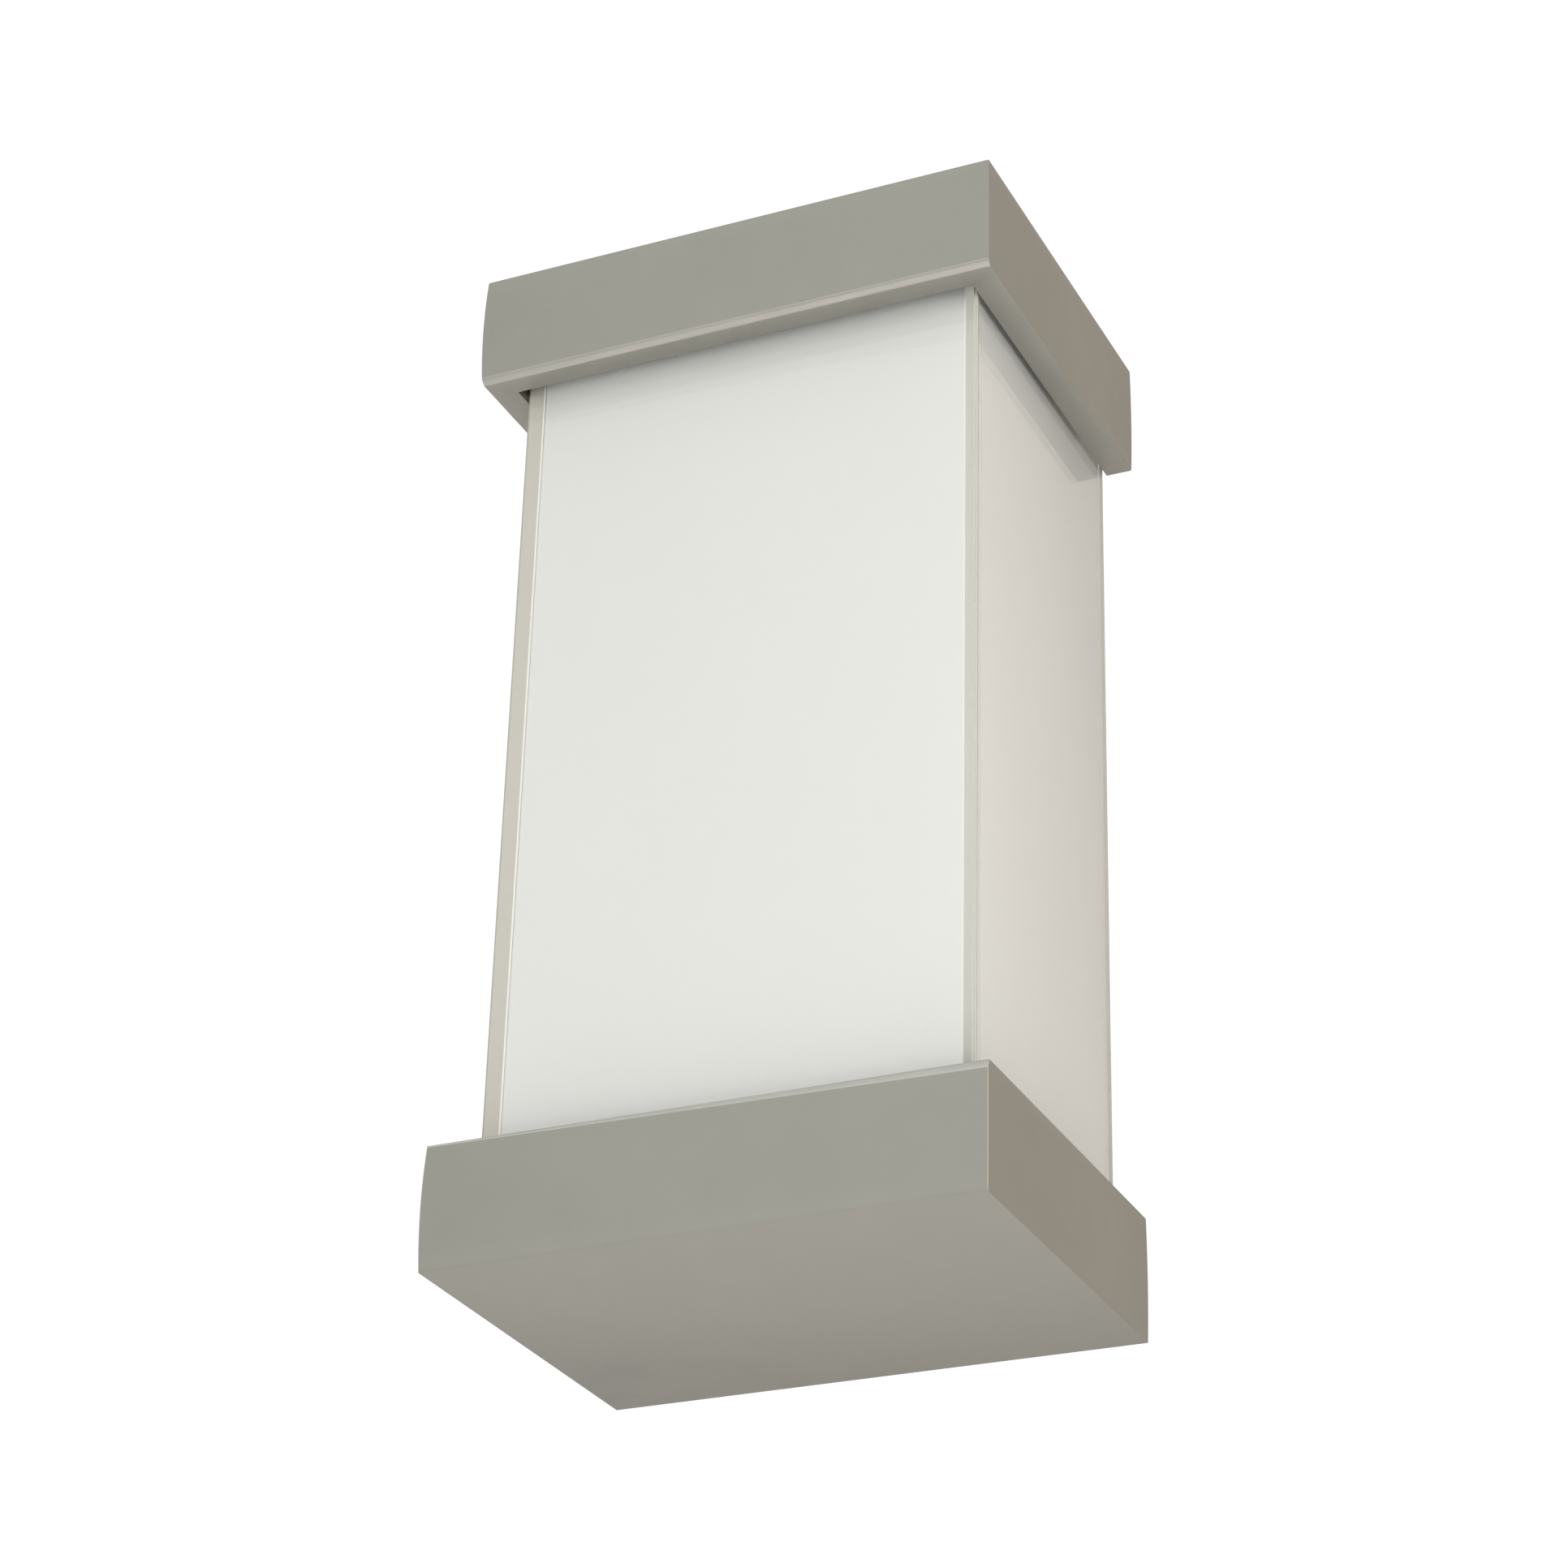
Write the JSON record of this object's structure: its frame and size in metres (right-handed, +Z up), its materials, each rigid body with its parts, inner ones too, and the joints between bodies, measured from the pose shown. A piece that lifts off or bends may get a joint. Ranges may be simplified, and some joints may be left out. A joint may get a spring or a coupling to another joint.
{
  "type": "outdoor wall lantern",
  "caption": "Box-shaped wall lantern: hollow metal cap and base, clear glass box over an opal liner, wall pan, lamp in a screw socket and a cap that lifts off.",
  "frame": {"origin": "centre of the mounting strap's wall face, in the plane of the wall and half way up the lantern", "axes": "+Y into the wall, -Y to the front, +Z up, +X to the right of someone who faces the lantern"},
  "size_m": [0.157, 0.114, 0.3126],
  "materials": {
    "satin_nickel": "satin nickel",
    "clear_glass": "polished",
    "opal_glass": "opal white, satin",
    "white_paint": "white powder coat",
    "galvanised_steel": "galvanised",
    "zinc_steel": "zinc plated",
    "rivet_aluminium": "plain",
    "nickel_plate": "nickel plated",
    "brass": "plain",
    "porcelain": "glazed",
    "black_rubber": "matte",
    "grey_foam": "closed-cell foam",
    "bulb_glass": "white, soft",
    "black_glass": "gloss",
    "black_lead": "satin",
    "white_lead": "satin",
    "green_lead": "satin",
    "green_screw": "green dyed zinc",
    "connector_plastic": "moulded"
  },
  "bodies": {
    "frame": {"base_shell": "satin_nickel", "clear_glass_front": "clear_glass", "clear_glass_left": "clear_glass", "clear_glass_right": "clear_glass", "opal_liner_front": "opal_glass", "opal_liner_left": "opal_glass", "opal_liner_right": "opal_glass", "glass_base_pad": "black_rubber", "back_pan": "white_paint", "base_frame": "galvanised_steel", "base_screw_back_left": "zinc_steel", "base_screw_back_right": "zinc_steel", "base_screw_front_left": "zinc_steel", "base_screw_front_right": "zinc_steel", "top_frame": "galvanised_steel", "top_frame_screw_left": "zinc_steel", "top_frame_screw_right": "zinc_steel", "cap_standoff_left": "zinc_steel", "cap_standoff_right": "zinc_steel", "clip_screw_left": "zinc_steel", "clip_screw_right": "zinc_steel", "wall_gasket": "grey_foam", "mounting_strap": "galvanised_steel", "mounting_stud_left": "zinc_steel", "mounting_stud_right": "zinc_steel", "stud_washer_left": "zinc_steel", "stud_washer_right": "zinc_steel", "stud_nut_left": "zinc_steel", "stud_nut_right": "zinc_steel", "ground_screw": "green_screw", "pan_ground_screw": "green_screw", "lead_ground": "green_lead", "lead_live": "black_lead", "lead_neutral": "white_lead", "wire_connector_live": "connector_plastic", "wire_connector_neutral": "connector_plastic", "lead_grommet": "black_rubber", "socket_bracket": "galvanised_steel", "bracket_rivet_left": "rivet_aluminium", "bracket_rivet_right": "rivet_aluminium", "socket_body": "porcelain", "socket_shell": "nickel_plate", "socket_contact": "brass", "socket_screw_left": "zinc_steel", "socket_screw_right": "zinc_steel"},
    "cap": {"top_cap": "satin_nickel", "thumb_washer_left": "black_rubber", "thumb_washer_right": "black_rubber"},
    "thumb_screw_left": {"thumb_screw_left": "satin_nickel"},
    "thumb_screw_right": {"thumb_screw_right": "satin_nickel"},
    "clip_left": {"glass_clip_left": "zinc_steel"},
    "clip_right": {"glass_clip_right": "zinc_steel"},
    "lamp": {"bulb_globe": "bulb_glass", "bulb_cap": "nickel_plate", "bulb_insulator": "black_glass", "bulb_tip": "nickel_plate"}
  },
  "joints": [
    {"name": "cap_lift", "type": "slide", "parent": "frame", "child": "cap", "axis": [0, 0, 1], "range_m": [0, 0.06]},
    {"name": "thumb_screw_left_turn", "type": "hinge", "parent": "cap", "child": "thumb_screw_left", "pos_m": [-0.05, -0.057, 0.1525], "axis": [0, 0, 1], "continuous": true},
    {"name": "thumb_screw_right_turn", "type": "hinge", "parent": "cap", "child": "thumb_screw_right", "pos_m": [0.05, -0.057, 0.1525], "axis": [0, 0, 1], "continuous": true},
    {"name": "clip_left_turn", "type": "hinge", "parent": "frame", "child": "clip_left", "pos_m": [-0.052, -0.082, 0.127], "axis": [0, 0, -1], "range_deg": [0, 90]},
    {"name": "clip_right_turn", "type": "hinge", "parent": "frame", "child": "clip_right", "pos_m": [0.052, -0.082, 0.127], "axis": [0, 0, 1], "range_deg": [0, 90]},
    {"name": "lamp_turn", "type": "hinge", "parent": "frame", "child": "lamp", "pos_m": [0, -0.057, 0], "axis": [0, 0, 1], "continuous": true}
  ]
}
